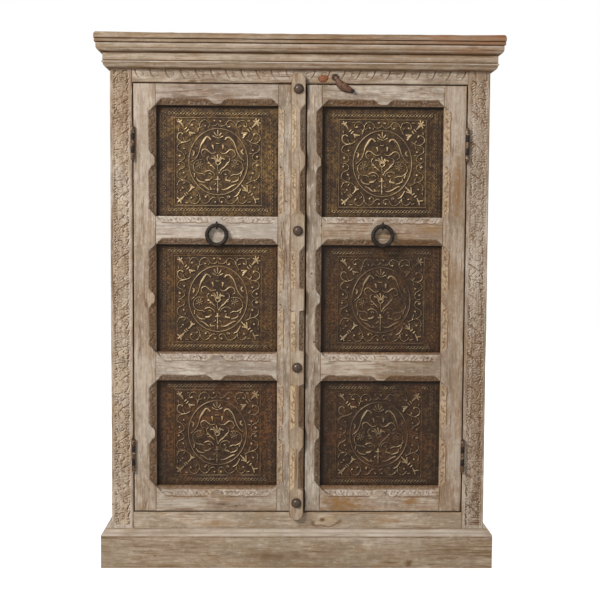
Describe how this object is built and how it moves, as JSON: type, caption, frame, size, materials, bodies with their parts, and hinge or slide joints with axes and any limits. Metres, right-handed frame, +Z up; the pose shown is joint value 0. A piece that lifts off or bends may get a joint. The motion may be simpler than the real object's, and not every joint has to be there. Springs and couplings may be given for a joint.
{
  "type": "two-door cabinet",
  "caption": "Free-standing wooden cabinet with a moulded cornice, hinged panelled doors faced with embossed brass, ring pulls, shelves and a sloped plinth.",
  "frame": {"origin": "middle of the bounding box at the floor", "axes": "+X to the right of a person who faces the doors, +Y to the back, +Z up"},
  "size_m": [0.932, 0.44, 1.2326],
  "materials": {
    "limewashed_wood": "worn limewash over old brown wood",
    "bare_wood": "bare, aged",
    "embossed_brass": "embossed sheet with a dark patina",
    "dark_iron": "blackened, forged",
    "rusted_iron": "rusted, forged"
  },
  "bodies": {
    "carcass": {"back_boards": "bare_wood", "bottom_board": "bare_wood", "cornice_front": "limewashed_wood", "cornice_left": "limewashed_wood", "cornice_right": "limewashed_wood", "frame_hinge_leaves": "dark_iron", "frame_hinge_screws": "dark_iron", "head_rail": "limewashed_wood", "hinge_pins": "dark_iron", "left_front_post": "limewashed_wood", "left_rear_post": "limewashed_wood", "left_side_boards": "limewashed_wood", "lower_shelf": "bare_wood", "plinth_front": "limewashed_wood", "plinth_left": "limewashed_wood", "plinth_right": "limewashed_wood", "right_front_post": "limewashed_wood", "right_rear_post": "limewashed_wood", "right_side_boards": "limewashed_wood", "shelf_cleats": "bare_wood", "sill_rail": "limewashed_wood", "top_boards": "limewashed_wood", "upper_shelf": "bare_wood"},
    "left_door": {"left_bottom_rail": "limewashed_wood", "left_hinge_leaves": "dark_iron", "left_hinge_screws": "dark_iron", "left_hinge_stile": "limewashed_wood", "left_lower_board": "bare_wood", "left_lower_brass": "embossed_brass", "left_lower_rail": "limewashed_wood", "left_meeting_stile": "limewashed_wood", "left_middle_board": "bare_wood", "left_middle_brass": "embossed_brass", "left_ring_staple": "dark_iron", "left_top_rail": "limewashed_wood", "left_upper_board": "bare_wood", "left_upper_brass": "embossed_brass", "left_upper_rail": "limewashed_wood", "astragal": "limewashed_wood", "astragal_studs": "dark_iron"},
    "right_door": {"right_bottom_rail": "limewashed_wood", "right_hinge_leaves": "dark_iron", "right_hinge_screws": "dark_iron", "right_hinge_stile": "limewashed_wood", "right_lower_board": "bare_wood", "right_lower_brass": "embossed_brass", "right_lower_rail": "limewashed_wood", "right_meeting_stile": "limewashed_wood", "right_middle_board": "bare_wood", "right_middle_brass": "embossed_brass", "right_ring_staple": "dark_iron", "right_top_rail": "limewashed_wood", "right_upper_board": "bare_wood", "right_upper_brass": "embossed_brass", "right_upper_rail": "limewashed_wood", "latch_nail": "rusted_iron"},
    "left_ring": {"left_ring_pull": "dark_iron"},
    "right_ring": {"right_ring_pull": "dark_iron"},
    "latch": {"latch_hasp": "rusted_iron"}
  },
  "joints": [
    {"name": "left_door_hinge", "type": "hinge", "parent": "carcass", "child": "left_door", "pos_m": [-0.384, -0.1955, 0.6303], "axis": [0, 0, -1], "range_deg": [0, 170]},
    {"name": "right_door_hinge", "type": "hinge", "parent": "carcass", "child": "right_door", "pos_m": [0.384, -0.1955, 0.6303], "axis": [0, 0, 1], "range_deg": [0, 170]},
    {"name": "left_ring_swing", "type": "hinge", "parent": "left_door", "child": "left_ring", "pos_m": [-0.19125, -0.19975, 0.8016], "axis": [-1, 0, 0], "range_deg": [0, 150]},
    {"name": "right_ring_swing", "type": "hinge", "parent": "right_door", "child": "right_ring", "pos_m": [0.19125, -0.19975, 0.8016], "axis": [-1, 0, 0], "range_deg": [0, 150]},
    {"name": "hasp_turn", "type": "hinge", "parent": "right_door", "child": "latch", "pos_m": [0.1189, -0.1924, 1.1102], "axis": [0, -1, 0], "range_deg": [0, 135]}
  ]
}
